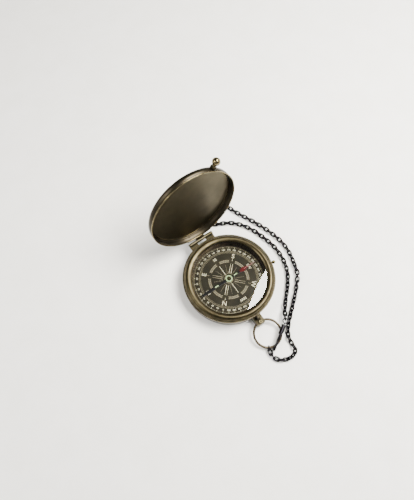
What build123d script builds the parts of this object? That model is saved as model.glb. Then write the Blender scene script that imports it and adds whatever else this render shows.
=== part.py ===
from build123d import *
import math
import os

# Lidded pocket bearing compass with bow ring and chain. Millimetres.
# The origin is the centre of the case's bottom face, +Z up through the dial,
# +Y towards the lid hinge and -Y towards the bow ring.

# Case, a shallow spun brass cup with a thin flange at its mouth
CASE_R = 36.3
CASE_WALL = 1.2
CASE_FLOOR = 1.2
CASE_H = 13.0
CASE_EDGE_R = 2.4
FLANGE_R = 37.5
FLANGE_T = 1.2

# Stack inside the case, from the floor up
SUPPORT_OUT_R = 32.8
SUPPORT_IN_R = 31.0
PLATE_Z = 7.0
PLATE_T = 0.6
DIAL_R = 32.6
DIAL_T = 0.4
HUB_HOLE_R = 3.0
GLASS_R = 32.8
GLASS_Z = 13.3
GLASS_T = 1.5
STEP_TOP_R = 30.7
STEP_COUNT = 4
STEP_IN = 0.55
BEZEL_R = 36.6
BEZEL_LIP_R = 30.5
BEZEL_TOP_Z = 15.9
SKIRT_OUT_R = 35.0
SKIRT_BOTTOM_Z = 9.9

# Needle on its pivot
POST_R = 0.9
POST_FOOT_R = 4.0
POST_TOP_Z = 7.6
POINT_R = 0.45
POINT_TIP_Z = 10.45
NEEDLE_LEN = 53.0
NEEDLE_Z = 9.9
NEEDLE_T = 0.3
CAP_R = 1.7
HUB_R = 2.7
CAP_BOTTOM_Z = 9.5
CAP_TOP_Z = 11.5
LUME_OUT_R = 2.8
LUME_T = 0.15
FOOT_SCREW_R = 1.0
BEARING_R = 0.9

# Needle lock: knob and wedge turn about the case's axis, lever lifts the needle
LOCK_ANGLE = -12.5
LOCK_TRAVEL = 12.0
LEVER_ANGLE = -45.0
LEVER_TILT = 2.58
SLOT_Z = 8.0
SLOT_H = 2.0
LOCK_STEM_R = 0.8
LOCK_BALL_R = 1.5
LOCK_BALL_AT = 40.2
WEDGE_IN_R = 33.1
WEDGE_OUT_R = 34.8
LEVER_Z = 2.6
LEVER_T = 0.6
LEVER_W = 4.0
LEVER_PIVOT_X = -20.0
LEVER_END_X = 34.6
LIFTER_PIN_R = 0.6
COLLAR_IN_R = 1.5
COLLAR_OUT_R = 2.3
COLLAR_TOP_Z = 8.45
LEVER_AXIS_Z = LEVER_Z + LEVER_T / 2
EAR_Y = LEVER_W / 2 + 0.15
EAR_T = 0.8
RISE = math.tan(math.radians(LEVER_TILT)) * (WEDGE_IN_R - LEVER_PIVOT_X)

# Lid and its hinge; the lid is drawn closed and then turned open
LID_R = 37.6
LID_WALL = 0.7
LID_H = 6.45
LID_RIM_Z = 13.1
LID_OPEN = 100.5
HINGE_Y = 40.7
HINGE_Z = 12.2
BARREL_R = 1.5
HINGE_PIN_R = 0.7
RUNNING_GAP = 0.05
HINGE_LEN = 22.7
KNUCKLE_GAP = 0.15
LEAF_T = 0.8
KNUCKLE = HINGE_LEN / 3
CASE_LEAF_LOW = 5.6
LID_LEAF_HIGH = 18.4
RIVET_R = 0.7
CASE_RIVET_Z = 8.2
LID_RIVET_Z = 16.6
LINER_R = 35.6
LINER_T = 0.3
KNOB_ANGLE = -54.0
KNOB_BALL_R = 3.2
KNOB_BALL_AT = 43.7
KNOB_Z = 16.4
KNOB_STEM_R = 0.9
KNOB_COLLAR_R = 2.5
KNOB_COLLAR_T = 2.3

# Neck, catch and bow ring
NECK_W = 7.4
NECK_END_Y = -45.0
NECK_Z = 6.0
NECK_H = 5.6
BOW_Y = -43.0
BOW_Z = 6.2
BOW_WIRE_R = 0.95
BOW_R = 11.1
BOW_CENTRE = 10.2
BOW_DROOP = 10.7
TRUNNION_R = 0.75
CATCH_W = 2.6

# Chain, clasp and the rings that join them
CHAIN_D = 4.3
CHAIN_Z = CHAIN_D / 2
LOOP_ROUTE = [
    (-6.9, -66.1), (-7.4, -71.0), (-3.6, -75.8), (4.2, -79.0), (11.4, -76.2), (11.4, -68.0),
    (13.8, -61.6), (20.8, -54.4), (31.2, -46.2), (41.5, -37.6), (48.4, -30.6),
]
RUN_ROUTE = [
    (51.9, -26.0, CHAIN_Z), (57.2, -12.5, CHAIN_Z), (58.7, 2.5, CHAIN_Z), (55.4, 17.4, CHAIN_Z),
    (50.0, 31.6, CHAIN_Z), (43.4, 45.2, CHAIN_Z), (38.6, 58.6, CHAIN_Z), (28.0, 68.6, CHAIN_Z),
    (14.6, 67.4, CHAIN_Z), (10.4, 56.4, CHAIN_Z), (20.4, 48.6, CHAIN_Z), (33.6, 42.4, CHAIN_Z),
    (42.8, 30.6, CHAIN_Z), (47.8, 16.4, CHAIN_Z), (50.8, 2.0, CHAIN_Z), (49.6, -11.0, CHAIN_Z),
    (45.2, -22.4, CHAIN_Z), (37.4, -31.6, CHAIN_Z), (29.4, -39.2, CHAIN_Z), (22.8, -46.0, 3.4),
    (19.3, -50.3, 5.5),
]
JOIN_RING_R = 1.6
JOIN_WIRE_R = 0.55
BOW_LINK_AT = (-5.91, -62.84, 2.6)
CLASP_FROM = (0.4, -63.8)
CLASP_HEADING = 32.0
CLASP_T = 1.8
CLASP_BARREL_R = 1.8
GATE_PIVOT = (5.0, 4.8)
GATE_T = 0.8
GATE_PIN_R = 0.35
SWIVEL_Z = 6.3
SWIVEL_RING_R = 1.9
SWIVEL_AT = 20.0

os.makedirs("parts", exist_ok=True)


def save(shape, name):
    """Write one node's solid or group of solids."""
    if isinstance(shape, list):
        shape = Compound(children=shape)
    export_step(shape, f"parts/{name}.step")


def turned(points):
    """Solid of revolution about Z from a closed outline of (radius, height) points."""
    outline = Polyline(*[(r, 0, z) for r, z in points], close=True)
    return revolve(make_face(outline), Axis.Z, 360)


def rod(radius, start, end):
    """Round bar from one point to another."""
    start = Vector(*start)
    along = Vector(*end) - start
    plane = Plane(origin=start, z_dir=along)
    return extrude(plane * Circle(radius), along.length)


def block(x0, x1, y0, y1, z0, z1):
    """Box between two corners."""
    size = Box(x1 - x0, y1 - y0, z1 - z0)
    return Pos((x0 + x1) / 2, (y0 + y1) / 2, (z0 + z1) / 2) * size


def tube(outer, inner, z0, z1):
    """Plain ring about Z."""
    return turned([(inner, z0), (outer, z0), (outer, z1), (inner, z1)])


def disc(radius, z0, z1):
    """Plain disc about Z."""
    return Pos(0, 0, (z0 + z1) / 2) * Cylinder(radius, z1 - z0)


def sector(outer, inner, z0, z1, middle, half):
    """Part of a plain ring, half degrees to each side of its middle angle."""
    ring = tube(outer, inner, z0, z1)
    reach = outer * 1.5
    ends = [(reach * math.cos(math.radians(a)), reach * math.sin(math.radians(a)))
            for a in (middle - half, middle - half / 3, middle + half / 3, middle + half)]
    wedge = make_face(Polyline((0, 0), *ends, close=True))
    return ring & extrude(Pos(0, 0, z0) * wedge, z1 - z0)


def turn_z(shape, angle):
    """Turn a shape about the case's axis."""
    return shape.rotate(Axis.Z, angle)


def open_lid(shape):
    """Swing a shape drawn on the closed lid to the open rest position."""
    hinge = Axis((0, HINGE_Y, HINGE_Z), (1, 0, 0))
    return shape.rotate(hinge, -LID_OPEN)


def droop(shape):
    """Lower a shape drawn on the level bow ring to its rest position."""
    pivot = Axis((0, BOW_Y, BOW_Z), (1, 0, 0))
    return shape.rotate(pivot, BOW_DROOP)


# Case ---------------------------------------------------------------------

def neck_screw_places():
    """The two screws of the neck, as (x, z)."""
    return [(-2.0, NECK_Z), (2.0, NECK_Z)]


def make_case():
    inner = CASE_R - CASE_WALL
    outline = Polyline((0, 0, 0), (CASE_R, 0, 0), (CASE_R, 0, CASE_H - FLANGE_T),
                       (FLANGE_R, 0, CASE_H - FLANGE_T), (FLANGE_R, 0, CASE_H), (inner, 0, CASE_H),
                       (inner, 0, CASE_FLOOR), (0, 0, CASE_FLOOR), close=True)
    case = revolve(make_face(outline), Axis.Z, 360)
    corner = case.edges().filter_by(GeomType.CIRCLE).group_by(Axis.Z)[0]
    case = fillet(corner, CASE_EDGE_R)
    slot = sector(CASE_R + 1, inner - 1, SLOT_Z - SLOT_H / 2, SLOT_Z + SLOT_H / 2,
                  LOCK_ANGLE + LOCK_TRAVEL / 2, LOCK_TRAVEL / 2 + 2.2)
    case -= slot
    for x, z in neck_screw_places():
        case -= rod(0.7, (x, -CASE_R - 1, z), (x, -inner + 1, z))
    for x in rivet_xs():
        case -= rod(RIVET_R, (x, inner - 1.5, CASE_RIVET_Z), (x, CASE_R + 1, CASE_RIVET_Z))
    return case - rod(FOOT_SCREW_R, (0, 0, -1), (0, 0, CASE_FLOOR + 1))


def make_support_ring():
    ring = tube(SUPPORT_OUT_R, SUPPORT_IN_R, CASE_FLOOR, PLATE_Z)
    half = LEVER_W / 2 + 1
    notch = turn_z(block(25, 40, -half, half, CASE_FLOOR - 1, PLATE_Z + 1), LEVER_ANGLE)
    return ring - notch


def make_dial_plate():
    return tube(SUPPORT_OUT_R, HUB_HOLE_R, PLATE_Z, PLATE_Z + PLATE_T)


def make_dial():
    top = PLATE_Z + PLATE_T
    return tube(DIAL_R, HUB_HOLE_R, top, top + DIAL_T)


def make_step_ring():
    """Stepped sight ring between the dial and the glass."""
    low = PLATE_Z + PLATE_T + DIAL_T
    rise = (GLASS_Z - low) / STEP_COUNT
    points = [(SUPPORT_OUT_R, low), (SUPPORT_OUT_R, GLASS_Z), (STEP_TOP_R, GLASS_Z)]
    for i in range(STEP_COUNT):
        radius = STEP_TOP_R - i * STEP_IN
        points.append((radius, GLASS_Z - (i + 1) * rise))
        if i < STEP_COUNT - 1:
            points.append((radius - STEP_IN, GLASS_Z - (i + 1) * rise))
    return turned(points)


def make_glass():
    return chamfer(disc(GLASS_R, GLASS_Z, GLASS_Z + GLASS_T).edges(), 0.15)


def make_bezel():
    """Domed ring: its lip holds the glass and its skirt presses into the case."""
    lip_z = GLASS_Z + GLASS_T
    crown = Polyline((BEZEL_LIP_R, 0, lip_z), (GLASS_R + 0.1, 0, lip_z), (GLASS_R + 0.1, 0, CASE_H),
                     (GLASS_R + 0.4, 0, CASE_H), (GLASS_R + 0.4, 0, SKIRT_BOTTOM_Z),
                     (SKIRT_OUT_R, 0, SKIRT_BOTTOM_Z), (SKIRT_OUT_R, 0, CASE_H), (BEZEL_R, 0, CASE_H),
                     (BEZEL_R, 0, CASE_H + 0.7))
    dome = Spline((BEZEL_R, 0, CASE_H + 0.7), (35.2, 0, 15.35), (33.4, 0, BEZEL_TOP_Z),
                  (31.6, 0, 15.6), (BEZEL_LIP_R, 0, lip_z + 0.25))
    close = Line((BEZEL_LIP_R, 0, lip_z + 0.25), (BEZEL_LIP_R, 0, lip_z))
    return revolve(make_face(crown.edges() + dome.edges() + close.edges()), Axis.Z, 360)


# Needle and pivot -----------------------------------------------------------

def make_pivot_post():
    foot = disc(POST_FOOT_R, CASE_FLOOR, CASE_FLOOR + 0.8)
    post = disc(POST_R, CASE_FLOOR, POST_TOP_Z)
    bore = rod(POINT_R, (0, 0, POST_TOP_Z - 2.5), (0, 0, POST_TOP_Z + 1))
    tapped = rod(FOOT_SCREW_R * 0.6, (0, 0, -1), (0, 0, CASE_FLOOR + 2.5))
    return foot + post - bore - tapped


def make_foot_screw():
    """Screw that holds the pivot post, its head sunk flush in the case floor."""
    shank = rod(FOOT_SCREW_R, (0, 0, 0.1), (0, 0, CASE_FLOOR))
    tip = rod(FOOT_SCREW_R * 0.6, (0, 0, CASE_FLOOR), (0, 0, CASE_FLOOR + 2.3))
    slot = block(-2, 2, -0.15, 0.15, 0, 0.5)
    return shank + tip - slot


def make_pivot_point():
    """Hardened steel needle point."""
    base = POST_TOP_Z - 2.5
    shoulder = POINT_TIP_Z - 1.1
    return turned([(0, base), (POINT_R, base), (POINT_R, shoulder), (0.08, POINT_TIP_Z), (0, POINT_TIP_Z)])


def needle_outline(reach):
    """Half outline of a lozenge blade that starts at the hub."""
    return [(0, 1.0), (reach * 0.42, 0.9), (reach * 0.55, 1.9), (reach * 0.70, 0.75), (reach, 0.06)]


def make_blade():
    half = NEEDLE_LEN / 2
    upper = [(-half, 0.5), (-half * 0.80, 1.4), (-half * 0.30, 0.95)] + needle_outline(half)
    lower = [(x, -y) for x, y in reversed(upper)]
    blade = extrude(Pos(0, 0, NEEDLE_Z) * make_face(Polyline(*upper, *lower, close=True)), NEEDLE_T)
    blade += disc(HUB_R, NEEDLE_Z, NEEDLE_Z + NEEDLE_T)
    return blade - rod(CAP_R, (0, 0, 0), (0, 0, 20))


def make_cap():
    """Turned brass cap with a conical hollow for the pivot point and a seat for its jewel."""
    cap = turned([(0, CAP_BOTTOM_Z), (CAP_R, CAP_BOTTOM_Z), (CAP_R, CAP_TOP_Z - 0.7), (0.9, CAP_TOP_Z), (0, CAP_TOP_Z)])
    mouth = turned([(0, CAP_BOTTOM_Z - 1), (1.2, CAP_BOTTOM_Z - 1), (1.2, CAP_BOTTOM_Z),
                    (BEARING_R, 10.1), (BEARING_R, 10.9), (0, 10.9)])
    return cap - mouth


def make_jewel():
    """Cup jewel that rides on the pivot point."""
    hollow = Pos(0, 0, 10.1) * Sphere(0.42)
    return rod(BEARING_R, (0, 0, 10.1), (0, 0, 10.9)) - hollow


def make_lume_ring():
    z0 = NEEDLE_Z + NEEDLE_T
    return tube(LUME_OUT_R, CAP_R, z0, z0 + LUME_T)


# Needle lock ------------------------------------------------------------------

def make_lock_slide():
    """Strip that runs round the wall: a tab at the knob's stem and a ramp under the lever's end."""
    low = LEVER_Z - 0.15
    arc_mm = math.radians(1) * WEDGE_OUT_R
    start = -LEVER_W / 2 - 0.6
    far = start - LOCK_TRAVEL * arc_mm
    bottom = CASE_FLOOR + 0.1
    side = [(start, bottom), (start, low), (far, low + RISE - 0.1), (far - 1.2, low + RISE - 0.1),
            (far - 1.2, bottom)]
    ramp = extrude(Plane.YZ.offset(30) * make_face(Polyline(*side, close=True)), 8)
    ramp = turn_z(ramp & tube(WEDGE_OUT_R, WEDGE_IN_R, CASE_FLOOR, PLATE_Z), LEVER_ANGLE)
    ends = (LEVER_ANGLE - 18, LOCK_ANGLE + 2.5)
    strip = sector(WEDGE_OUT_R, WEDGE_IN_R, bottom, low - 0.15, sum(ends) / 2, (ends[1] - ends[0]) / 2)
    tab = sector(WEDGE_OUT_R, WEDGE_IN_R, bottom, SLOT_Z + 1.2, LOCK_ANGLE, 2.5)
    bore = turn_z(rod(LOCK_STEM_R, (30, 0, SLOT_Z), (40, 0, SLOT_Z)), LOCK_ANGLE)
    return ramp + strip + tab - bore


def make_lock_knob():
    stem = rod(LOCK_STEM_R, (WEDGE_IN_R + 0.1, 0, SLOT_Z), (LOCK_BALL_AT, 0, SLOT_Z))
    collar = rod(LOCK_STEM_R + 0.45, (CASE_R + 0.15, 0, SLOT_Z), (CASE_R + 0.7, 0, SLOT_Z))
    return turn_z(stem + collar + Pos(LOCK_BALL_AT, 0, SLOT_Z) * Sphere(LOCK_BALL_R), LOCK_ANGLE)


def make_lever():
    """Flat lever with a barrel at its pivot and a hole for the collar round the post."""
    plate = block(LEVER_PIVOT_X, LEVER_END_X, -LEVER_W / 2, LEVER_W / 2, LEVER_Z, LEVER_Z + LEVER_T)
    hub = disc(COLLAR_OUT_R + 1.2, LEVER_Z, LEVER_Z + LEVER_T)
    barrel = rod(1.1, (LEVER_PIVOT_X, -LEVER_W / 2, LEVER_AXIS_Z), (LEVER_PIVOT_X, LEVER_W / 2, LEVER_AXIS_Z))
    bore = rod(LIFTER_PIN_R + RUNNING_GAP, (LEVER_PIVOT_X, -5, LEVER_AXIS_Z), (LEVER_PIVOT_X, 5, LEVER_AXIS_Z))
    hole = disc(COLLAR_OUT_R, 0, 10)
    return turn_z(plate + hub + barrel - bore - hole, LEVER_ANGLE)


def make_lift_collar():
    return tube(COLLAR_OUT_R, COLLAR_IN_R, LEVER_Z, COLLAR_TOP_Z)


def make_lever_bracket():
    """Two ears on a foot plate screwed to the case floor."""
    foot = block(LEVER_PIVOT_X - 3, LEVER_PIVOT_X + 3, -EAR_Y - EAR_T, EAR_Y + EAR_T, CASE_FLOOR, CASE_FLOOR + 0.4)
    bracket = foot
    for side in (-1, 1):
        y0 = side * EAR_Y
        y1 = side * (EAR_Y + EAR_T)
        bracket += block(LEVER_PIVOT_X - 1.4, LEVER_PIVOT_X + 1.4, min(y0, y1), max(y0, y1), CASE_FLOOR, 4.4)
    bore = rod(LIFTER_PIN_R, (LEVER_PIVOT_X, -9, LEVER_AXIS_Z), (LEVER_PIVOT_X, 9, LEVER_AXIS_Z))
    return turn_z(bracket - bore, LEVER_ANGLE)


def make_lever_pin():
    reach = EAR_Y + EAR_T + 0.3
    pin = rod(LIFTER_PIN_R, (LEVER_PIVOT_X, -reach, LEVER_AXIS_Z), (LEVER_PIVOT_X, reach, LEVER_AXIS_Z))
    return turn_z(pin, LEVER_ANGLE)


# Hinge ------------------------------------------------------------------------

def rivet_xs():
    return (-7.4, 7.4)


def knuckle(x0, x1):
    return rod(BARREL_R, (x0, HINGE_Y, HINGE_Z), (x1, HINGE_Y, HINGE_Z))


def hinge_bore(radius):
    reach = HINGE_LEN / 2 + 1
    return rod(radius, (-reach, HINGE_Y, HINGE_Z), (reach, HINGE_Y, HINGE_Z))


def make_case_leaf():
    """Curved leaf on the case wall with the two outer knuckles."""
    half = HINGE_LEN / 2
    top = CASE_H - FLANGE_T
    leaf = tube(CASE_R + LEAF_T, CASE_R, CASE_LEAF_LOW, top) & block(-half, half, 20, 50, 0, top)
    for x0, x1 in ((-half, -KNUCKLE / 2 - KNUCKLE_GAP), (KNUCKLE / 2 + KNUCKLE_GAP, half)):
        web = block(x0, x1, CASE_R - 3, HINGE_Y, HINGE_Z - BARREL_R, top - 0.05) - disc(CASE_R, 0, 30)
        leaf += web + knuckle(x0, x1)
    for x in rivet_xs():
        leaf -= rod(RIVET_R, (x, 25, CASE_RIVET_Z), (x, 50, CASE_RIVET_Z))
    return leaf - hinge_bore(HINGE_PIN_R)


def make_lid_leaf():
    """Curved leaf on the lid wall with the middle knuckle."""
    half = HINGE_LEN / 2
    low = HINGE_Z + 1.15
    leaf = tube(LID_R + LEAF_T, LID_R, low, LID_LEAF_HIGH) & block(-half, half, 20, 50, 0, 30)
    x1 = KNUCKLE / 2
    web = block(-x1, x1, LID_R - 1, HINGE_Y, low - 0.75, HINGE_Z + BARREL_R) - disc(LID_R, 0, 40)
    leaf += web + knuckle(-x1, x1)
    for x in rivet_xs():
        leaf -= rod(RIVET_R, (x, 25, LID_RIVET_Z), (x, 50, LID_RIVET_Z))
    return open_lid(leaf - hinge_bore(HINGE_PIN_R + RUNNING_GAP))


def make_hinge_pin():
    reach = HINGE_LEN / 2 + 0.3
    pin = rod(HINGE_PIN_R, (-reach, HINGE_Y, HINGE_Z), (reach, HINGE_Y, HINGE_Z))
    return fillet(pin.edges(), 0.25)


def make_rivets(z, wall_in, wall_out):
    """Round-head rivets through a wall and its leaf, one at each side."""
    rivets = []
    for x in rivet_xs():
        inner = math.sqrt(wall_in ** 2 - x ** 2)
        outer = math.sqrt((wall_out + LEAF_T) ** 2 - x ** 2)
        shank = rod(RIVET_R, (x, inner - 0.3, z), (x, outer + 0.3, z))
        rivets.append(shank)
    return rivets


# Lid --------------------------------------------------------------------------

def lid_knob_direction():
    angle = math.radians(KNOB_ANGLE)
    return math.cos(angle), math.sin(angle)


def make_lid():
    top = LID_RIM_Z + LID_H
    inner = LID_R - LID_WALL
    shell = turned([(0, top), (LID_R, top), (LID_R, LID_RIM_Z), (inner, LID_RIM_Z), (inner, top - 0.8),
                    (0, top - 0.8)])
    outer_edge = shell.edges().filter_by(GeomType.CIRCLE).group_by(Axis.Z)[-1]
    shell = fillet(outer_edge, 1.6)
    for x in rivet_xs():
        shell -= rod(RIVET_R, (x, 30, LID_RIVET_Z), (x, 45, LID_RIVET_Z))
    dx, dy = lid_knob_direction()
    shell -= rod(KNOB_STEM_R, (dx * 34, dy * 34, KNOB_Z), (dx * 40, dy * 40, KNOB_Z))
    return open_lid(shell)


def make_lid_liner():
    top = LID_RIM_Z + LID_H - 0.8
    return open_lid(disc(LINER_R, top - LINER_T, top))


def make_lid_knob():
    """Turned ball on a stem that is riveted over inside the lid wall."""
    dx, dy = lid_knob_direction()

    def at(r):
        return (dx * r, dy * r, KNOB_Z)
    stem = rod(KNOB_STEM_R, at(LID_R - LID_WALL - 0.5), at(KNOB_BALL_AT))
    neck = rod(KNOB_STEM_R + 0.5, at(LID_R + KNOB_COLLAR_T), at(KNOB_BALL_AT - KNOB_BALL_R + 0.4))
    return open_lid(stem + neck + Pos(*at(KNOB_BALL_AT)) * Sphere(KNOB_BALL_R))


def make_knob_collar():
    """Boss under the knob, hollowed to sit on the round lid wall."""
    dx, dy = lid_knob_direction()

    def at(r):
        return (dx * r, dy * r, KNOB_Z)
    collar = rod(KNOB_COLLAR_R, at(LID_R - 1), at(LID_R + KNOB_COLLAR_T)) - tube(LID_R, 20, 0, 40)
    return open_lid(collar - rod(KNOB_STEM_R, at(30), at(45)))


# Neck and bow -------------------------------------------------------------------

def make_neck():
    """Neck block screwed to the case wall; the bow ring turns in its two sides."""
    low = NECK_Z - NECK_H / 2
    neck = block(-NECK_W / 2, NECK_W / 2, NECK_END_Y, -CASE_R + 2, low, low + NECK_H)
    neck = fillet(neck.edges().filter_by(Axis.Z).group_by(Axis.Y)[0], 1.6)
    neck -= disc(CASE_R, 0, 20)
    for side in (-1, 1):
        mouth = side * (NECK_W / 2 + 1)
        bottom = side * (NECK_W / 2 - 1.5)
        neck -= rod(TRUNNION_R + RUNNING_GAP, (mouth, BOW_Y, BOW_Z), (bottom, BOW_Y, BOW_Z))
    for x, z in neck_screw_places():
        neck -= rod(0.7, (x, -30, z), (x, -39.5, z))
    return neck - rod(0.9, (0, BOW_Y, BOW_Z + 1.0), (0, BOW_Y, 20))


def make_neck_screws():
    """Screws that hold the neck from inside the case."""
    inner = CASE_R - CASE_WALL
    screws = []
    for x, z in neck_screw_places():
        wall = math.sqrt(inner ** 2 - (abs(x) + 1.2) ** 2)
        head = rod(1.2, (x, -wall, z), (x, -wall + 0.7, z))
        slot = block(x - 2, x + 2, -wall + 0.4, -wall + 1, z - 0.15, z + 0.15)
        screws.append(head + rod(0.7, (x, -wall, z), (x, -39.4, z)) - slot)
    return screws


def make_neck_stud():
    """Hollow-headed stud on top of the neck, over the bow's pivot."""
    top = NECK_Z + NECK_H / 2
    head = Pos(0, BOW_Y, 0) * turned([(0, top), (1.75, top), (1.75, top + 0.7), (1.35, top + 1.25),
                                      (0.6, top + 1.25), (0.45, top + 0.45), (0, top + 0.45)])
    return head + rod(0.9, (0, BOW_Y, BOW_Z + 1.05), (0, BOW_Y, top))


def make_catch():
    """Sprung catch block on the neck that the lid's rim snaps behind."""
    top = NECK_Z + NECK_H / 2
    half = CATCH_W / 2
    block_up = block(-half, half, -40.6, -37.75, top, 14.6) - disc(LID_R + 0.15, 0, 30)
    block_up = chamfer(block_up.edges().group_by(Axis.Z)[-1], 0.3)
    return block_up


def bow_path():
    """Centre line of the level bow ring, from one trunnion to the other."""
    side = NECK_W / 2 + 0.25 + BOW_WIRE_R
    centre = BOW_Y - BOW_CENTRE
    end_y = centre + math.sqrt(BOW_R ** 2 - side ** 2)
    ring = ThreePointArc((side, end_y, BOW_Z), (0, centre - BOW_R, BOW_Z), (-side, end_y, BOW_Z))
    return ring, side, end_y


def make_bow():
    ring, side, end_y = bow_path()
    wire = sweep(Plane(origin=ring @ 0, z_dir=ring % 0) * Circle(BOW_WIRE_R), path=ring)
    for sign in (-1, 1):
        wire += Pos(sign * side, end_y, BOW_Z) * Sphere(BOW_WIRE_R)
        wire += rod(BOW_WIRE_R, (sign * side, end_y, BOW_Z), (sign * side, BOW_Y, BOW_Z))
        wire += Pos(sign * side, BOW_Y, BOW_Z) * Sphere(BOW_WIRE_R)
        wire += rod(TRUNNION_R, (sign * side, BOW_Y, BOW_Z), (sign * (NECK_W / 2 - 1.3), BOW_Y, BOW_Z))
    return droop(wire)


# Chain and clasp --------------------------------------------------------------------

def corner_radii(points):
    """The largest arc that two runs leave room for, at each corner of a route."""
    radii = []
    for a, b, c in zip(points, points[1:], points[2:]):
        run_in = Vector(*b) - Vector(*a)
        run_out = Vector(*c) - Vector(*b)
        turn = math.radians(run_in.get_angle(run_out))
        radii.append(0.45 * min(run_in.length, run_out.length) / math.tan(turn / 2))
    return radii


def make_chain(route, name):
    """Plain tube along a chain's route: straight runs joined by tangent arcs."""
    radii = corner_radii(route)
    path = FilletPolyline(*route, radius=radii)
    profile = Plane(origin=path @ 0, z_dir=path % 0) * Circle(CHAIN_D / 2)
    shape = sweep(profile, path=path)
    expected = math.pi * CHAIN_D ** 2 / 4 * path.length
    print(name, "length", round(path.length, 1), "radii", [round(r, 1) for r in radii],
          "volume ratio", round(shape.volume / expected, 4))
    return shape


def make_ring(centre, radius, wire, normal):
    """Round wire ring."""
    plane = Plane(origin=centre, z_dir=normal)
    return plane * Torus(radius, wire)


def clasp_point(s, z, side=0):
    heading = math.radians(CLASP_HEADING)
    x = CLASP_FROM[0] + s * math.cos(heading) - side * math.sin(heading)
    y = CLASP_FROM[1] + s * math.sin(heading) + side * math.cos(heading)
    return (x, y, z)


def clasp_plate(points, thick):
    """Flat piece standing on edge along the clasp, from (distance, height) points."""
    heading = math.radians(CLASP_HEADING)
    plane = Plane(origin=clasp_point(0, 0, thick / 2), x_dir=(math.cos(heading), math.sin(heading), 0),
                  z_dir=(math.sin(heading), -math.cos(heading), 0))
    return extrude(plane * make_face(Polyline(*points, close=True)), thick)


def make_clasp_body():
    hook = [(-5.0, 1.2), (-4.0, 0.15), (3.8, 0.15), (5.0, 0.8), (5.4, 1.7), (4.3, 1.7), (3.7, 1.05), (-3.4, 1.05),
            (-3.9, 1.7), (-3.9, 3.6), (-3.2, 4.2), (4.4, 4.2), (13.0, 4.9), (16.6, 5.0), (16.6, 7.6),
            (12.0, 7.6), (6.6, 7.0), (2.4, 6.2), (-3.2, 5.6), (-5.0, 4.5)]
    barrel = rod(CLASP_BARREL_R, clasp_point(8.2, SWIVEL_Z), clasp_point(16.6, SWIVEL_Z))
    return clasp_plate(hook, CLASP_T) + fillet(barrel.edges(), 0.5)


def make_clasp_gate():
    """Thumb gate that closes the hook; its eye turns on a pin in the body's slot."""
    blade = clasp_plate([(4.55, 1.9), (5.35, 1.9), (5.7, 4.6), (4.75, 4.9)], GATE_T)
    eye = rod(0.7, clasp_point(GATE_PIVOT[0], GATE_PIVOT[1], -GATE_T / 2),
              clasp_point(GATE_PIVOT[0], GATE_PIVOT[1], GATE_T / 2))
    return blade + eye - gate_rod(GATE_PIN_R + RUNNING_GAP)


def gate_rod(radius):
    reach = CLASP_T / 2 + 0.15
    return rod(radius, clasp_point(*GATE_PIVOT, -reach), clasp_point(*GATE_PIVOT, reach))


def make_gate_room():
    """Slot in the clasp body for the gate's eye, and the bore for its pin."""
    slot = clasp_plate([(3.2, 3.9), (6.4, 3.9), (6.4, 5.75), (3.2, 5.75)], GATE_T + 0.2)
    return slot + gate_rod(GATE_PIN_R)


def make_swivel():
    eye = make_ring(clasp_point(SWIVEL_AT, SWIVEL_Z), SWIVEL_RING_R, 0.5, (0, 0, 1))
    shank = rod(0.5, clasp_point(14.6, SWIVEL_Z), clasp_point(SWIVEL_AT - SWIVEL_RING_R, SWIVEL_Z))
    head = rod(0.85, clasp_point(14.6, SWIVEL_Z), clasp_point(15.1, SWIVEL_Z))
    return eye + shank + head


def make_swivel_room():
    bore = rod(0.55, clasp_point(14.6, SWIVEL_Z), clasp_point(17.5, SWIVEL_Z))
    return bore + rod(0.95, clasp_point(14.5, SWIVEL_Z), clasp_point(15.2, SWIVEL_Z))


# Write the parts ------------------------------------------------------------------------

save(make_case(), "case")
save(make_foot_screw(), "pivot_screw")
save(make_support_ring(), "support_ring")
save(make_dial_plate(), "dial_plate")
save(make_dial(), "dial")
save(make_step_ring(), "step_ring")
save(make_glass(), "glass")
save(make_bezel(), "bezel")
save(make_pivot_post(), "pivot_post")
save(make_pivot_point(), "pivot_point")
save(make_blade(), "needle")
save(make_cap(), "needle_cap")
save(make_jewel(), "needle_jewel")
save(make_lume_ring(), "luminous_ring")
save(make_lock_slide(), "lock_slide")
save(make_lock_knob(), "lock_knob")
save(make_lever(), "lifter_lever")
save(make_lift_collar(), "lifter_collar")
save(make_lever_bracket(), "lifter_bracket")
save(make_lever_pin(), "lifter_pin")
save(make_case_leaf(), "hinge_case_leaf")
save(make_lid_leaf(), "hinge_lid_leaf")
save(make_hinge_pin(), "hinge_pin")
save(make_rivets(CASE_RIVET_Z, CASE_R - CASE_WALL, CASE_R), "case_rivets")
save([open_lid(r) for r in make_rivets(LID_RIVET_Z, LID_R - LID_WALL, LID_R)], "lid_rivets")
save(make_lid(), "lid")
save(make_lid_liner(), "lid_liner")
save(make_lid_knob(), "lid_knob")
save(make_knob_collar(), "lid_knob_collar")
save(make_neck(), "bow_neck")
save(make_neck_screws(), "neck_screws")
save(make_neck_stud(), "neck_stud")
save(make_catch(), "lid_catch")
save(make_bow(), "bow_ring")
save(make_clasp_body() - make_swivel_room() - make_gate_room(), "clasp_body")
save(make_clasp_gate(), "clasp_gate")
save(gate_rod(GATE_PIN_R), "gate_pin")
save(make_swivel(), "clasp_swivel")
save(make_chain([(x, y, CHAIN_Z) for x, y in LOOP_ROUTE], "chain_loop"), "chain_loop")
save(make_chain(RUN_ROUTE, "chain_run"), "chain_run")
ring_x, ring_y = [(a + b) / 2 for a, b in zip(LOOP_ROUTE[-1], RUN_ROUTE[0][:2])]
save(make_ring((ring_x, ring_y, CHAIN_Z), JOIN_RING_R, JOIN_WIRE_R, (1, -1, 0)), "joining_ring")
save(make_ring(BOW_LINK_AT, 2.0, 0.5, (0.86, -0.51, 0)), "bow_link")
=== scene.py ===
import math

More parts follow.
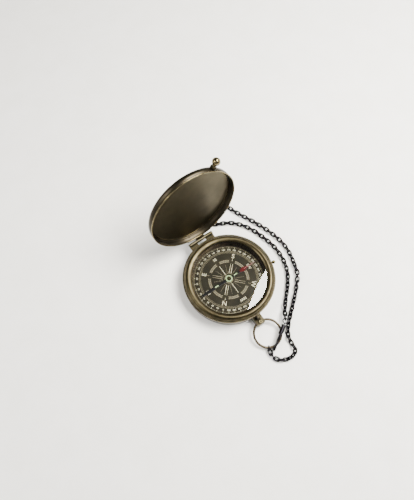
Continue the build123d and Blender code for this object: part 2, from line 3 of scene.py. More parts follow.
import bpy
import numpy as np
from mathutils import Matrix, Vector


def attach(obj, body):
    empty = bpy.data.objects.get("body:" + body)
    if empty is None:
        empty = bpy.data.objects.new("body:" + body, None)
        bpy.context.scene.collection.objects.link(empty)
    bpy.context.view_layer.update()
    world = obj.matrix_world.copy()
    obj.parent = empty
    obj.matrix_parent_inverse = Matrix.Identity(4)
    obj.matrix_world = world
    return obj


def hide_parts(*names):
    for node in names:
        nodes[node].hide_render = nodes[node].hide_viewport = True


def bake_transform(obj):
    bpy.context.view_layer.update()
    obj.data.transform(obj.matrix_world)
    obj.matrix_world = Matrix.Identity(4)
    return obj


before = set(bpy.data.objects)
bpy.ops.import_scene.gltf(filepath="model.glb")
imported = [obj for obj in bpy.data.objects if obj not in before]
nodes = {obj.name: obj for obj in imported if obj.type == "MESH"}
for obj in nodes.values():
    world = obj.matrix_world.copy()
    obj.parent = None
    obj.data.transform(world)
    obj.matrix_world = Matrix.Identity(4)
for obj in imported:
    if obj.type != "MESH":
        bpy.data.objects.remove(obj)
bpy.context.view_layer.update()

MM = 0.001

# ---- Camera ------------------------------------------------------------------------
# A standing person's look down into the open compass, the lid away on the left.
# Place in millimetres; heading is clockwise from +Y, tilt is down from level.
CAMERA_PLACE = (-91.3, -91.1, 398.0)
CAMERA_HEADING = 36.73
CAMERA_TILT = 68.64
CAMERA_ROLL = 2.16
CAMERA_LENS = 36.19

camera_data = bpy.data.cameras.new("camera")
camera_data.sensor_width = 36.0
camera_data.lens = CAMERA_LENS
camera_data.clip_start = 0.01
camera = bpy.data.objects.new("camera", camera_data)
bpy.context.scene.collection.objects.link(camera)
camera.matrix_world = (
    Matrix.Translation(Vector(CAMERA_PLACE) * MM)
    @ Matrix.Rotation(math.radians(-CAMERA_HEADING), 4, "Z")
    @ Matrix.Rotation(math.radians(90.0 - CAMERA_TILT), 4, "X")
    @ Matrix.Rotation(math.radians(CAMERA_ROLL), 4, "Z")
)
bpy.context.scene.camera = camera

# ---- Metals and other finishes --------------------------------------------------------
# Antique brass is blackened, then rubbed back, so the dark stays in clouds and corners.
# Every metal is grained by its making: fine turned lines where a lathe or spinning
# chuck cut it, random handling scratches elsewhere.


def srgb(hex_text):
    """Linear colour from an sRGB hex value: the standard power curve on each channel."""
    channels = [int(hex_text[i:i + 2], 16) / 255 for i in (0, 2, 4)]
    linear = [c / 12.92 if c <= 0.04045 else ((c + 0.055) / 1.055) ** 2.4 for c in channels]
    return (*linear, 1.0)


def add_node(tree, kind, inputs=(), links=(), **settings):
    """Add one shader node; inputs are (socket, value), links are (socket, source socket)."""
    node = tree.nodes.new(kind)
    for name, value in settings.items():
        setattr(node, name, value)
    for socket, value in inputs:
        node.inputs[socket].default_value = value
    for socket, source in links:
        tree.links.new(source, node.inputs[socket])
    return node


def new_material(name):
    """Empty node material; returns the material and its tree."""
    material = bpy.data.materials.new(name)
    material.use_nodes = True
    material.node_tree.nodes.clear()
    return material, material.node_tree


def noise(tree, size_mm, detail=4.0, roughness=0.55, source=None, stretch=None):
    """Noise whose features are about size_mm across, on the object's own coordinates."""
    if source is None:
        source = add_node(tree, "ShaderNodeTexCoord").outputs["Object"]
    if stretch is not None:
        source = add_node(tree, "ShaderNodeVectorMath", [(1, stretch)], [(0, source)],
                          operation="MULTIPLY").outputs[0]
    values = [("Scale", 1 / (size_mm * MM)), ("Detail", detail), ("Roughness", roughness)]
    return add_node(tree, "ShaderNodeTexNoise", values, [("Vector", source)]).outputs["Fac"]


def remap(tree, value, low, high, to_low=0.0, to_high=1.0):
    """Clamped straight-line map of a value from one range to another."""
    ends = [(1, low), (2, high), (3, to_low), (4, to_high)]
    return add_node(tree, "ShaderNodeMapRange", ends, [(0, value)]).outputs[0]


def mix_colour(tree, factor, first, second):
    """Blend of two colours, each a hex text or a socket."""
    node = add_node(tree, "ShaderNodeMix", data_type="RGBA")
    tree.links.new(factor, node.inputs[0])
    for socket, colour in ((6, first), (7, second)):
        if isinstance(colour, str):
            node.inputs[socket].default_value = srgb(colour)
        else:
            tree.links.new(colour, node.inputs[socket])
    return node.outputs[2]


def calculate(tree, operation, *terms, clamp=False):
    """Result of one maths operation on sockets and plain numbers."""
    node = add_node(tree, "ShaderNodeMath", operation=operation, use_clamp=clamp)
    for socket, term in zip(node.inputs, terms):
        if isinstance(term, (int, float)):
            socket.default_value = term
        else:
            tree.links.new(term, socket)
    return node.outputs[0]


def bump_normal(tree, height, strength, depth_um):
    """Normal that follows a height of the given full depth."""
    values = [("Strength", strength), ("Distance", depth_um * 1e-6)]
    return add_node(tree, "ShaderNodeBump", values, [("Height", height)]).outputs[0]


def surface(tree, values, links):
    """Give a material a principled surface with these values and links."""
    shader = add_node(tree, "ShaderNodeBsdfPrincipled", values, links)
    add_node(tree, "ShaderNodeOutputMaterial", links=[("Surface", shader.outputs[0])])


def turned_place(tree):
    """Radius and height from the turning axis in millimetres, as lathe() stores them."""
    return add_node(tree, "ShaderNodeAttribute", attribute_name="turned").outputs["Vector"]


def metal(name, bright, dark, rough, patina=0.5, crevice_mm=1.2, rings=False, cloud_mm=7.0, grain_um=6.0):
    """Metal with dark clouds, darker corners and fine scratches; rings adds the tool's fine
    turned lines. patina is the share of dark; rough is the (rubbed, dark) roughness."""
    material, tree = new_material(name)
    rubbed_cloud = remap(tree, noise(tree, cloud_mm, 7.0, 0.6), 0.36, 0.64, 1.0 - patina, 1.0)
    corner = add_node(tree, "ShaderNodeAmbientOcclusion", [("Distance", crevice_mm * MM)], samples=6)
    open_face = remap(tree, corner.outputs["AO"], 0.35, 0.95)
    speck = remap(tree, noise(tree, 0.45, 5.0, 0.7), 0.36, 0.58)
    rubbed = calculate(tree, "MULTIPLY", rubbed_cloud, open_face)
    rubbed = calculate(tree, "MULTIPLY", rubbed, remap(tree, speck, 0.0, 1.0, 0.8, 1.0))
    scratch = noise(tree, 0.9, 3.0, 0.6, stretch=(1.0, 9.0, 3.0))
    roughness = calculate(tree, "ADD", remap(tree, rubbed, 0.0, 1.0, rough[1], rough[0]),
                          remap(tree, scratch, 0.3, 0.7, -0.05, 0.07))
    scratch_depth = remap(tree, scratch, 0.2, 0.8)
    height = calculate(tree, "ADD", scratch_depth, speck)
    if rings:
        ring = noise(tree, 0.28, 2.0, 0.7, source=turned_place(tree), stretch=(MM, MM, 0.0))
        height = calculate(tree, "MULTIPLY_ADD", ring, height, scratch_depth)
    surface(tree, [("Metallic", 1.0)],
            [("Base Color", mix_colour(tree, rubbed, dark, bright)), ("Roughness", roughness),
             ("Normal", bump_normal(tree, height, 0.5, grain_um))])
    return material


def coating(name, colour, second, rough, size_mm=1.2, coat=0.0, shine=0.5):
    """Paint, print or enamel: two close colours in fine mottling and a slight tooth."""
    material, tree = new_material(name)
    mottle = remap(tree, noise(tree, size_mm, 6.0, 0.65), 0.38, 0.62)
    tooth = noise(tree, 0.12, 3.0, 0.6)
    surface(tree, [("Coat Weight", coat), ("Specular IOR Level", shine)],
            [("Base Color", mix_colour(tree, mottle, colour, second)),
             ("Roughness", remap(tree, mottle, 0.0, 1.0, rough, rough + 0.12)),
             ("Normal", bump_normal(tree, tooth, 0.5, 8.0))])
    return material


def give_finish(name, material):
    """Put a material on a part that keeps the shape it was packed with."""
    nodes[name].data.materials.clear()
    nodes[name].data.materials.append(material)


antique_brass = metal("antique_brass_rubbed", "544d39", "12100b", (0.19, 0.36), patina=0.45, rings=True)
antique_brass_plain = metal("antique_brass_hand_finished", "4b4535", "12100c", (0.25, 0.42))
dark_brass = metal("blackened_brass_spun", "39342a", "0f0d0a", (0.27, 0.42), patina=0.45, rings=True,
                   cloud_mm=16.0)
knob_brass = metal("antique_brass_knob", "7d7152", "211c12", (0.14, 0.3), crevice_mm=2.0, cloud_mm=4.0)
bezel_brass = metal("antique_brass_turned_satin", "423c2c", "0e0c09", (0.27, 0.42), rings=True)
bright_brass = metal("polished_brass", "a5946a", "4a3f28", (0.1, 0.25), patina=0.25, crevice_mm=0.8)
inner_brass = metal("plain_brass_inner", "8d7a4e", "3d3220", (0.3, 0.45), patina=0.4)
bronze = metal("dark_bronze_casting", "343024", "0d0b08", (0.3, 0.5), patina=0.6, crevice_mm=1.0)
steel = metal("bright_steel_pin", "8d8a82", "3d3a33", (0.22, 0.4), patina=0.35)
needle_steel = metal("blackened_steel_satin", "19191c", "08080a", (0.3, 0.45), cloud_mm=3.0)
gunmetal = metal("gunmetal_plating_worn", "1d1c1f", "070608", (0.2, 0.4), cloud_mm=2.5, crevice_mm=0.8)
wire_nickel = metal("worn_plated_wire", "3b342a", "0c0a07", (0.16, 0.34), cloud_mm=5.0)
print_cream = coating("printed_cream_ink_worn", "dcd6bc", "8f8768", 0.5, size_mm=0.8)
print_dim = coating("printed_cream_ink_faded", "8b8268", "544d3a", 0.55, size_mm=0.9)
red_enamel = coating("dull_red_enamel", "4e050c", "300307", 0.6, shine=0.1)
pink_line = coating("faded_white_paint_line", "b08a88", "84585a", 0.5, shine=0.2)
lume = coating("luminous_paint_cream", "adc48c", "7c9364", 0.5)
jewel_red = coating("ruby_cup_jewel", "8c1830", "6a1024", 0.08, coat=1.0)

# ---- Shape helpers --------------------------------------------------------------------
# Every piece of the compass is closed, faces outward and is built in millimetres.
# Turned parts are swept outlines; the rest are swept sections and flat prisms.


def mesh_piece(name, points, faces, material, body, smooth=True, turned=None):
    """Mesh object at the origin from points in millimetres, riding on a body.
    Faces are turned outward by the sign of the enclosed volume, the sum of a.(b x c) / 6."""
    points = np.asarray(points, float)
    volume = 0.0
    for face in faces:
        a = points[face[0]]
        for b, c in zip(face[1:], face[2:]):
            volume += float(np.dot(a, np.cross(points[b], points[c])))
    if volume < 0:
        faces = [tuple(reversed(face)) for face in faces]
    mesh = bpy.data.meshes.new(name)
    mesh.from_pydata((points * MM).tolist(), [], faces)
    mesh.polygons.foreach_set("use_smooth", [smooth] * len(mesh.polygons))
    if turned is not None:
        attribute = mesh.attributes.new("turned", "FLOAT_VECTOR", "POINT")
        attribute.data.foreach_set("vector", np.asarray(turned, float).ravel())
    mesh.materials.append(material)
    piece = bpy.data.objects.new(name, mesh)
    bpy.context.scene.collection.objects.link(piece)
    if body is not None:
        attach(piece, body)
    return piece


def grid_faces(rows, cols, wrap_rows, wrap_cols, start=0):
    """Quads of a rows x cols grid of points, wrapped round in either direction."""
    last_row, last_col = rows if wrap_rows else rows - 1, cols if wrap_cols else cols - 1
    r, c = np.meshgrid(np.arange(last_row), np.arange(last_col), indexing="ij")
    r1, c1 = (r + 1) % rows, (c + 1) % cols
    quads = np.stack([r * cols + c, r1 * cols + c, r1 * cols + c1, r * cols + c1], -1)
    return [tuple(int(v) for v in quad) for quad in quads.reshape(-1, 4) + start]


def rounded(points, radius, steps=4):
    """Closed outline with each corner replaced by a quadratic curve that starts and ends
    radius away along its two sides (less where a side is short)."""
    out = []
    count = len(points)
    for i in range(count):
        a, b, c = (np.asarray(points[(i + k) % count], float) for k in (-1, 0, 1))
        back, ahead = np.linalg.norm(a - b), np.linalg.norm(c - b)
        cut = min(radius, 0.45 * back, 0.45 * ahead)
        start, end = b + (a - b) / back * cut, b + (c - b) / ahead * cut
        for t in np.linspace(0, 1, steps):
            out.append(tuple((1 - t) ** 2 * start + 2 * t * (1 - t) * b + t ** 2 * end))
    return out


def sweep_round(outline, segments):
    """Points about Z, x = r cos a and y = r sin a for each (r, z), and (r, z, 0) for each point."""
    a = np.linspace(0, 2 * np.pi, segments, endpoint=False)
    radius = np.repeat(outline[:, 0, None], segments, 1)
    height = np.repeat(outline[:, 1, None], segments, 1)
    points = np.stack([radius * np.cos(a), radius * np.sin(a), height], -1)
    turned = np.stack([radius, height, np.zeros_like(height)], -1)
    return points.reshape(-1, 3), turned.reshape(-1, 3)


def carried(points, place):
    """Points moved by a 4x4 matrix in millimetres, or as they are when there is none."""
    if place is None:
        return points
    return points @ np.array(place)[:3, :3].T + np.array(place)[:3, 3]


def lathe(name, outline, material, body, place=None, segments=160):
    """Closed ring: an outline that doesn't touch the axis, swept about it."""
    outline = np.asarray(outline, float)
    points, turned = sweep_round(outline, segments)
    faces = grid_faces(len(outline), segments, True, True)
    return mesh_piece(name, carried(points, place), faces, material, body, turned=turned)


def solid_lathe(name, outline, material, body, place=None, segments=64):
    """As lathe, for an outline that starts and ends on the axis; one point closes each pole."""
    outline = np.asarray(outline, float)
    inner = outline[1:-1]
    points, turned = sweep_round(inner, segments)
    points = np.concatenate([points, [[0, 0, outline[0, 1]], [0, 0, outline[-1, 1]]]])
    turned = np.concatenate([turned, np.zeros((2, 3))])
    faces = grid_faces(len(inner), segments, False, True)
    first, last = len(points) - 2, len(points) - 1
    top = (len(inner) - 1) * segments
    for i in range(segments):
        j = (i + 1) % segments
        faces.append((first, i, j))
        faces.append((last, top + j, top + i))
    return mesh_piece(name, carried(points, place), faces, material, body, turned=turned)


def sphere_arc(radius, centre_z, low_angle, high_angle, steps=14):
    """(r, z) points of a ball's outline between two angles up from its lower pole."""
    angles = np.radians(np.linspace(low_angle, high_angle, steps))
    return [(radius * math.sin(t), centre_z - radius * math.cos(t)) for t in angles]


def axis_place(origin, towards):
    """Matrix that puts local +Z along a direction at an origin."""
    turn = Vector(towards).normalized().to_track_quat("Z", "Y").to_matrix().to_4x4()
    return Matrix.Translation(Vector(origin)) @ turn


def replace(piece, name):
    """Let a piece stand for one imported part, and hand the piece back."""
    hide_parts(name)
    return piece


# ---- Chain -------------------------------------------------------------------------
# Oval cable chain of drawn steel wire with gunmetal plating, in two lengths joined by a
# round ring. Each link stands a quarter turn from the next, so all lean as the chain lies
# down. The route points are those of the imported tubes.
CHAIN_WIDTH = 4.3
LINK_WIRE_R = 0.68
LINK_LENGTH = 6.3
LINK_PITCH = 3.6
LINK_GRID = (30, 9)
END_GAP = 0.1
TURNING_LINKS = 4
LEAN, LEAN_SPREAD = 45, 6
FLOOR_GAP = 0.02
HALF_SPAN = 0.6
CHAIN_Z = CHAIN_WIDTH / 2
LOOP_ROUTE = [
    (-6.9, -66.1), (-7.4, -71.0), (-3.6, -75.8), (4.2, -79.0), (11.4, -76.2), (11.4, -68.0),
    (13.8, -61.6), (20.8, -54.4), (31.2, -46.2), (41.5, -37.6), (48.4, -30.6),
]
RUN_ROUTE = [
    (51.9, -26.0, CHAIN_Z), (57.2, -12.5, CHAIN_Z), (58.7, 2.5, CHAIN_Z), (55.4, 17.4, CHAIN_Z),
    (50.0, 31.6, CHAIN_Z), (43.4, 45.2, CHAIN_Z), (38.6, 58.6, CHAIN_Z), (28.0, 68.6, CHAIN_Z),
    (14.6, 67.4, CHAIN_Z), (10.4, 56.4, CHAIN_Z), (20.4, 48.6, CHAIN_Z), (33.6, 42.4, CHAIN_Z),
    (42.8, 30.6, CHAIN_Z), (47.8, 16.4, CHAIN_Z), (50.8, 2.0, CHAIN_Z), (49.6, -11.0, CHAIN_Z),
    (45.2, -22.4, CHAIN_Z), (37.4, -31.6, CHAIN_Z), (29.4, -39.2, CHAIN_Z), (22.8, -46.0, 3.4),
    (19.3, -50.3, 5.5),
]


def route_curve(name, route):
    """Line of the chain in millimetres: a NURBS spline with the route as control points."""
    data = bpy.data.curves.new(name, "CURVE")
    data.dimensions = "3D"
    data.resolution_u = 24
    spline = data.splines.new("NURBS")
    spline.points.add(len(route) - 1)
    for point, place in zip(spline.points, route):
        point.co = (*[v * MM for v in place], 1.0)
    spline.order_u = 3
    spline.use_endpoint_u = True
    line = bpy.data.objects.new(name, data)
    bpy.context.scene.collection.objects.link(line)
    bpy.context.view_layer.update()
    mesh = bpy.data.meshes.new_from_object(line.evaluated_get(bpy.context.evaluated_depsgraph_get()))
    points = np.array([v.co for v in mesh.vertices]) / MM
    bpy.data.objects.remove(line)
    bpy.data.meshes.remove(mesh)
    return points


def along(line, distances):
    """Places and directions at distances along a line of points, and its whole length. A
    direction is taken from just before the place to just after it."""
    travelled = np.concatenate([[0.0], np.cumsum(np.linalg.norm(np.diff(line, axis=0), axis=1))])

    def at(d):
        return np.stack([np.interp(d, travelled, line[:, i]) for i in range(3)], -1)
    distances = np.asarray(distances, float)
    direction = at(distances + HALF_SPAN) - at(distances - HALF_SPAN)
    return at(distances), direction / np.linalg.norm(direction, axis=1, keepdims=True), float(travelled[-1])


def link_points(length, width, wire):
    """One oval link: centre line x = s tanh(3 cos t) / tanh 3 + e cos t, y = e sin t, where e is
    the end radius and s half the straight, swept by a round section of the wire's radius."""
    t = np.linspace(0, 2 * np.pi, LINK_GRID[0], endpoint=False)
    end_r = width / 2 - wire
    straight = length / 2 - wire - end_r
    x = end_r * np.cos(t) + straight * np.tanh(3 * np.cos(t)) / math.tanh(3)
    centre = np.stack([x, end_r * np.sin(t), 0 * t], -1)
    out = np.stack([np.cos(t), np.sin(t), 0 * t], -1)
    phi = np.linspace(0, 2 * np.pi, LINK_GRID[1], endpoint=False)[None, :, None]
    ring = centre[:, None] + wire * (np.cos(phi) * out[:, None] + np.sin(phi) * np.array([0, 0, 1.0]))
    return ring.reshape(-1, 3)


def chain_mesh(name, route, start_ring, end_ring, end_lean, seed):
    """Links from one ring's middle to another's. Each turns a quarter from the last; the first
    lies flat, the middle ones lean 45 degrees, and the last leans as its ring needs."""
    line = np.vstack([start_ring, route_curve(name + "_line", route), end_ring])
    total = along(line, [0.0])[2]
    room = total - 2 * END_GAP - LINK_LENGTH
    count = round(room / LINK_PITCH) + 1
    index = np.arange(count)
    place, direction, _ = along(line, END_GAP + LINK_LENGTH / 2 + room / (count - 1) * index)
    last_twist = (end_lean - 90 * ((count - 1) % 2)) % 180
    last = count - 1
    twist = np.interp(index, [0, TURNING_LINKS, last - TURNING_LINKS, last], [0, LEAN, LEAN, last_twist])
    jitter = np.random.default_rng(seed).uniform(-LEAN_SPREAD, LEAN_SPREAD, count)
    lying = (index >= TURNING_LINKS) & (index < count - TURNING_LINKS)
    lean = np.radians(90 * (index % 2) + twist + np.where(lying, jitter, 0))
    half_height = (CHAIN_WIDTH / 2 - LINK_WIRE_R) * np.abs(np.sin(lean)) + LINK_WIRE_R
    shape = link_points(LINK_LENGTH, CHAIN_WIDTH, LINK_WIRE_R)
    faces, points = [], []
    for i in range(count):
        if place[i][2] < CHAIN_Z + 0.2:
            place[i][2] = FLOOR_GAP + half_height[max(i - 1, 0):i + 2].max()
        side = np.cross([0, 0, 1.0], direction[i])
        side /= np.linalg.norm(side)
        up = np.cross(direction[i], side)
        flat = math.cos(lean[i]) * side + math.sin(lean[i]) * up
        points.append(place[i] + shape @ np.stack([direction[i], flat, np.cross(direction[i], flat)]))
        faces += grid_faces(*LINK_GRID, True, True, start=i * len(shape))
    piece = mesh_piece(name, np.concatenate(points), faces, gunmetal, None)
    return piece, line, total


BOW_LINK = (-5.91, -62.84, 2.6)
JOINING_RING = (50.15, -28.3, CHAIN_Z)
SWIVEL_RING = (17.36, -53.2, 6.3)
chain_loop, loop_line, loop_length = chain_mesh("chain_loop_links", [(x, y, CHAIN_Z) for x, y in LOOP_ROUTE],
                                                BOW_LINK, JOINING_RING, 0, 3)
chain_run, run_line, run_length = chain_mesh("chain_run_links", RUN_ROUTE, JOINING_RING, SWIVEL_RING, 90, 5)
replace(chain_loop, "chain_loop")
replace(chain_run, "chain_run")
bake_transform(chain_loop)
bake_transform(chain_run)

# ---- Clasp, links and swivel ----------------------------------------------------------
# Long snap hook pressed from steel and plated like the chain, its thumb gate on a pin
# and its eye turning in the barrel end; split rings join it to the bow and the chain.
for name in ("clasp_body", "clasp_gate", "gate_pin", "clasp_swivel", "joining_ring", "bow_link"):
    give_finish(name, gunmetal)

# ---- Bezel and sight ring ---------------------------------------------------------------
# Domed brass ring turned in one piece; its lip holds the glass and a groove and a bead
# run round outside the dome. Under the glass a stepped ring leads down to the dial.
dome = [
    (30.5, 14.85), (30.5, 14.98), (30.7, 15.12), (31.3, 15.42), (32.0, 15.68), (32.8, 15.85), (33.6, 15.9),
    (34.2, 15.78), (34.7, 15.5), (35.1, 15.1), (35.3, 14.72), (35.42, 14.6), (35.56, 14.62), (35.75, 14.72),
    (36.0, 14.66), (36.2, 14.42), (36.28, 14.1), (36.3, 13.98), (36.42, 13.92), (36.58, 13.72), (36.6, 13.4),
    (36.6, 13.02), (35.1, 13.02), (35.1, 9.95), (33.25, 9.95), (33.25, 13.1), (32.95, 14.85),
]
replace(lathe("bezel_turned", dome, bezel_brass, "root", segments=256), "bezel")

STEP_COUNT, STEP_WIDTH, STEP_HEIGHT = 4, 0.55, 1.325
SIGHT_TOP_Z = 13.3
steps = [(32.8, 8.0), (32.8, SIGHT_TOP_Z)]
for i in range(STEP_COUNT):
    radius = 30.7 - STEP_WIDTH * i
    steps += [(radius, SIGHT_TOP_Z - STEP_HEIGHT * i), (radius, SIGHT_TOP_Z - STEP_HEIGHT * (i + 1))]

sight_metal, tree = new_material("sight_ring_brown_lacquer")
across = add_node(tree, "ShaderNodeSeparateXYZ", links=[(0, turned_place(tree))])
slope = calculate(tree, "ADD", across.outputs["X"], across.outputs["Y"])
wave = calculate(tree, "SINE", calculate(tree, "MULTIPLY", slope, 9.0))
ripple = remap(tree, wave, -0.2, 1.0)
# Painted highlights: concentric tan lines, a sine of radius plus height broken up by noise, are painted into
# the dark steps' colour and made shinier.
painted_highlight_lines = calculate(tree, "MULTIPLY", ripple, remap(tree, noise(tree, 2.5, 5.0), 0.32, 0.6))
surface(tree, [("Metallic", 0.9)],
        [("Base Color", mix_colour(tree, painted_highlight_lines, "0e0b08", "43392a")),
         ("Roughness", remap(tree, painted_highlight_lines, 0.0, 1.0, 0.42, 0.26)),
         ("Normal", bump_normal(tree, ripple, 0.7, 60.0))])
sight_line = rounded(steps, 0.13, 3)
replace(lathe("sight_ring", sight_line, sight_metal, "root", segments=200), "step_ring")

# ---- Dial -------------------------------------------------------------------------------
# Thin brass disc with a sandblasted dark field; the rose, degree ring and letters are
# cream ink that stands a few hundredths of a millimetre proud. The letters are plain.
DIAL_Z = 8.0
NORTH_AZIMUTH = 224.5
INK = (DIAL_Z - 0.05, DIAL_Z + 0.03)
LETTER_HALF_T, LETTER_FLATTEN = 0.04, 0.25

dial_field, tree = new_material("dial_sandblasted_bronze_field")
cloud = remap(tree, noise(tree, 11.0, 5.0), 0.36, 0.64)
grain = noise(tree, 0.32, 4.0, 0.75)
field = mix_colour(tree, cloud, "0c0a07", "19160f")
field = mix_colour(tree, remap(tree, grain, 0.48, 0.68, 0.0, 0.6), field, "322d20")
surface(tree, [("Metallic", 0.3), ("Roughness", 0.5), ("Specular IOR Level", 0.12)],
        [("Base Color", field), ("Normal", bump_normal(tree, grain, 0.8, 30.0))])
give_finish("dial", dial_field)

print_points = {"cream": [], "dim": []}
print_faces = {"cream": [], "dim": []}


def prism(ink, outline, z0=INK[0], z1=INK[1]):
    """Flat closed piece of ink: the outline at z1 above the same outline at z0."""
    points, faces = print_points[ink], print_faces[ink]
    start, count = len(points), len(outline)
    points += [(x, y, z1) for x, y in outline] + [(x, y, z0) for x, y in outline]
    faces.append(tuple(range(start, start + count)))
    faces.append(tuple(range(start + 2 * count - 1, start + count - 1, -1)))
    for i in range(count):
        j = (i + 1) % count
        faces.append((start + i, start + count + i, start + count + j, start + j))


def polar(radius, bearing, aside=0.0):
    """Dial point at a radius and a bearing clockwise from the dial's north, moved aside."""
    t = math.radians(NORTH_AZIMUTH - bearing)
    return (radius * math.cos(t) + aside * math.sin(t), radius * math.sin(t) - aside * math.cos(t))


def arc(ink, r0, r1, b0, b1):
    """Curved band between two radii and two bearings, in steps of about 3 degrees."""
    count = max(1, round((b1 - b0) / 3))
    for i in range(count):
        a, b = (b0 + (b1 - b0) * k / count for k in (i, i + 1))
        prism(ink, [polar(r0, b), polar(r1, b), polar(r1, a), polar(r0, a)])


def spoke(ink, bearing, r0, r1, w0, w1, aside=0.0):
    """Straight or tapered line along a bearing; w0 and w1 are its half widths at the ends."""
    prism(ink, [polar(r0, bearing, aside - w0), polar(r1, bearing, aside - w1),
                polar(r1, bearing, aside + w1), polar(r0, bearing, aside + w0)])


for radius in (28.4, 24.2, 23.7):
    arc("dim", radius, radius + 0.16, 0, 360)
for bearing in range(0, 360, 2):
    if bearing % 10 == 0:
        spoke("cream", bearing, 27.3, 28.4, 0.13, 0.13)
    else:
        spoke("dim", bearing, 27.8, 28.4, 0.08, 0.08)
for base in (0, 90, 180, 270):
    for low, high in ((9, 40), (50, 81)):
        arc("dim", 14.7, 15.1, base + low, base + high)
        arc("dim", 16.3, 16.7, base + low, base + high)
        for rung in np.arange(low + 1.5, high, 2.5):
            spoke("dim", base + rung, 15.0, 16.4, 0.15, 0.15)
    main = "cream" if base in (0, 180) else "dim"
    spoke(main, base, 5.4, 13.6, 0.3, 0.12, aside=0.85)
    spoke(main, base, 5.4, 13.6, 0.22, 0.1, aside=-0.75)
    spoke("cream", base + 45, 4.2, 13.4, 0.26, 0.16)
    spoke("dim", base + 22.5, 6.0, 12.6, 0.1, 0.05)
    spoke("dim", base + 67.5, 6.0, 12.6, 0.1, 0.05)
    spoke(main, base, 16.0, 18.2, 0.16, 0.12)
arc("dim", 3.2, 3.5, 0, 360)
arc("dim", 5.0, 5.15, 0, 360)
arc("dim", 22.9, 23.05, 0, 360)


def letters(ink, text, radius, bearing, size, weight):
    """Plain sans letters with their tops outward, from the built-in font; weight thickens them."""
    data = bpy.data.curves.new("letters", "FONT")
    data.body = text
    data.size = size * MM
    data.offset = weight * MM
    data.align_x, data.align_y = "CENTER", "CENTER"
    data.resolution_u = 3
    data.extrude = LETTER_HALF_T * MM
    holder = bpy.data.objects.new("letters", data)
    bpy.context.scene.collection.objects.link(holder)
    bpy.context.view_layer.update()
    shaped = holder.evaluated_get(bpy.context.evaluated_depsgraph_get())
    mesh = bpy.data.meshes.new_from_object(shaped)
    corners = np.array([v.co for v in mesh.vertices]) / MM
    t = math.radians(NORTH_AZIMUTH - bearing)
    outward = np.array([math.cos(t), math.sin(t)])
    right = np.array([math.sin(t), -math.cos(t)])
    start = len(print_points[ink])
    for x, y, z in corners:
        print_points[ink].append((*(outward * (radius + y) + right * x), DIAL_Z + LETTER_FLATTEN * z))
    print_faces[ink] += [tuple(start + v for v in p.vertices) for p in mesh.polygons]
    bpy.data.objects.remove(holder)
    bpy.data.meshes.remove(mesh)


for text, bearing in (("N", 0), ("E", 90), ("S", 180), ("W", 270)):
    letters("cream", text, 20.3, bearing, 5.2, 0.06)
for text, bearing in (("NE", 45), ("SE", 135), ("SW", 225), ("NW", 315)):
    letters("cream", text, 20.0, bearing, 3.2, 0.04)
for bearing in range(0, 360, 10):
    letters("cream", str(bearing), 25.8, bearing, 1.9, 0.03)
for ink, material in (("cream", print_cream), ("dim", print_dim)):
    mesh_piece("dial_print_" + ink, print_points[ink], print_faces[ink], material, "root",
               smooth=False)

# ---- Needle -----------------------------------------------------------------------------
# Lozenge blade cut from blackened spring steel with a low ridge down its middle. The north
# kite is enamelled red with a faded white line; dashes and hub ring are luminous paint.


def ridge_blade(name, half_widths, z0, edge_z, ridge_z, material):
    """Blade along X from (x, half width) stations: flat below, edge at edge_z and ridge on top."""
    points = []
    for x, w in half_widths:
        points += [(x, -w, z0), (x, -w, edge_z), (x, 0, ridge_z), (x, w, edge_z), (x, w, z0)]
    faces = grid_faces(len(half_widths), 5, False, True)
    faces.append((4, 3, 2, 1, 0))
    last = 5 * (len(half_widths) - 1)
    faces.append(tuple(last + i for i in range(5)))
    return mesh_piece(name, points, faces, material, "needle_unit", smooth=False)


blade_line = [(-26.5, 0.5), (-21.2, 1.4), (-8.0, 0.95), (-2.6, 1.2), (2.6, 1.2), (11.1, 0.95), (14.6, 1.95),
              (18.5, 0.8), (26.5, 0.12)]
kite_line = [(11.0, 0.86), (14.6, 1.8), (18.5, 0.7), (26.0, 0.1)]
replace(ridge_blade("needle_blade", blade_line, 9.9, 10.08, 10.2, needle_steel), "needle")
ridge_blade("needle_red", kite_line, 9.95, 10.11, 10.235, red_enamel)
ridge_blade("needle_white_line", [(15.0, 0.14), (25.6, 0.1)], 10.1, 10.22, 10.25, pink_line)
for name, x0, x1 in (("north", 5.0, 8.2), ("south", -13.6, -10.4)):
    dash_line = [(x0, 0.3), (x0 + 0.3, 0.42), (x1 - 0.3, 0.42), (x1, 0.3)]
    ridge_blade("needle_dash_" + name, dash_line, 10.05, 10.21, 10.25, lume)
hub_line = [(0, 9.9), (2.7, 9.9), (2.7, 10.12), (2.6, 10.2), (0, 10.2)]
solid_lathe("needle_hub", hub_line, needle_steel, "needle_unit")
paint_line = rounded([(1.95, 10.19), (2.8, 10.19), (2.8, 10.34), (1.95, 10.34)], 0.06, 3)
replace(lathe("luminous_ring_paint", paint_line, lume, "needle_unit", segments=72),
        "luminous_ring")
cap_line = [(0, 11.3), (0.3, 11.34), (0.45, 11.5), (0.55, 11.5), (0.9, 11.46), (1.15, 11.3), (1.55, 10.95),
            (1.7, 10.75), (1.7, 9.5), (1.2, 9.5), (0.9, 10.1), (0, 10.1)]
replace(solid_lathe("needle_cap_turned", cap_line, bronze, "needle_unit"), "needle_cap")

